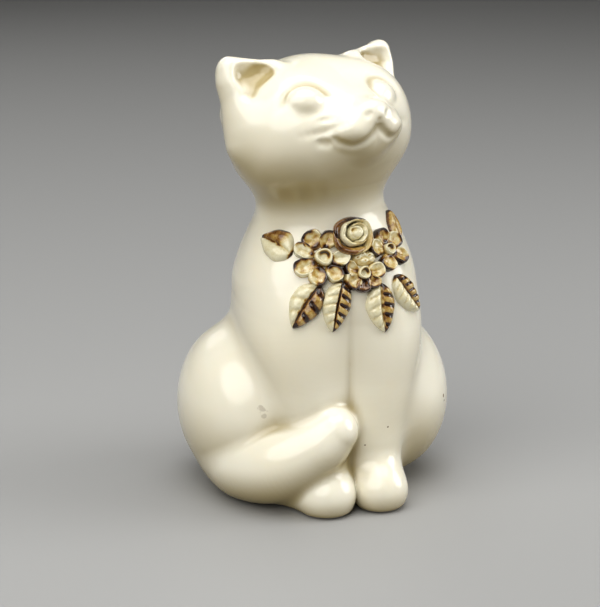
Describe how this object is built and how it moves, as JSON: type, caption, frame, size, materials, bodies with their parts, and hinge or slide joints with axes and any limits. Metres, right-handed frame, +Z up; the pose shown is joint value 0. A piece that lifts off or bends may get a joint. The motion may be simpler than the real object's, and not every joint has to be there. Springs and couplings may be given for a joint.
{
  "type": "cat figurine",
  "caption": "Seated ceramic cat with its head turned and raised, tail wrapped to the front, and a collar of applied clay flowers and leaves.",
  "frame": {"origin": "on the flat base, under the middle of the torso", "axes": "+Z up, the chest and paws face -Y, +X to the cat's own left; the head is turned to its left and raised"},
  "size_m": [0.139, 0.1196, 0.2207],
  "materials": {
    "ivory_glaze": "glossy",
    "brown_glaze": "glossy",
    "cream_glaze": "glossy"
  },
  "bodies": {
    "root": {"body_shell": "ivory_glaze", "filler_blossom": "cream_glaze", "leaf_lower_1": "brown_glaze", "leaf_lower_2": "brown_glaze", "leaf_lower_3": "brown_glaze", "leaf_lower_4": "brown_glaze", "leaf_upper_left": "brown_glaze", "leaf_upper_right": "brown_glaze", "left_flower_cup": "cream_glaze", "left_flower_petal_1": "brown_glaze", "left_flower_petal_2": "brown_glaze", "left_flower_petal_3": "brown_glaze", "left_flower_petal_4": "brown_glaze", "left_flower_petal_5": "brown_glaze", "middle_flower_cup": "cream_glaze", "middle_flower_petal_1": "brown_glaze", "middle_flower_petal_2": "brown_glaze", "middle_flower_petal_3": "brown_glaze", "middle_flower_petal_4": "brown_glaze", "middle_flower_petal_5": "brown_glaze", "right_flower_cup": "cream_glaze", "right_flower_petal_1": "brown_glaze", "right_flower_petal_2": "brown_glaze", "right_flower_petal_3": "brown_glaze", "right_flower_petal_4": "brown_glaze", "right_flower_petal_5": "brown_glaze", "right_flower_petal_6": "brown_glaze", "right_flower_petal_7": "brown_glaze", "rose_core": "cream_glaze", "rose_inner_petal_1": "cream_glaze", "rose_inner_petal_2": "cream_glaze", "rose_outer_petal_1": "brown_glaze", "rose_outer_petal_2": "brown_glaze", "rose_outer_petal_3": "brown_glaze"}
  },
  "joints": []
}
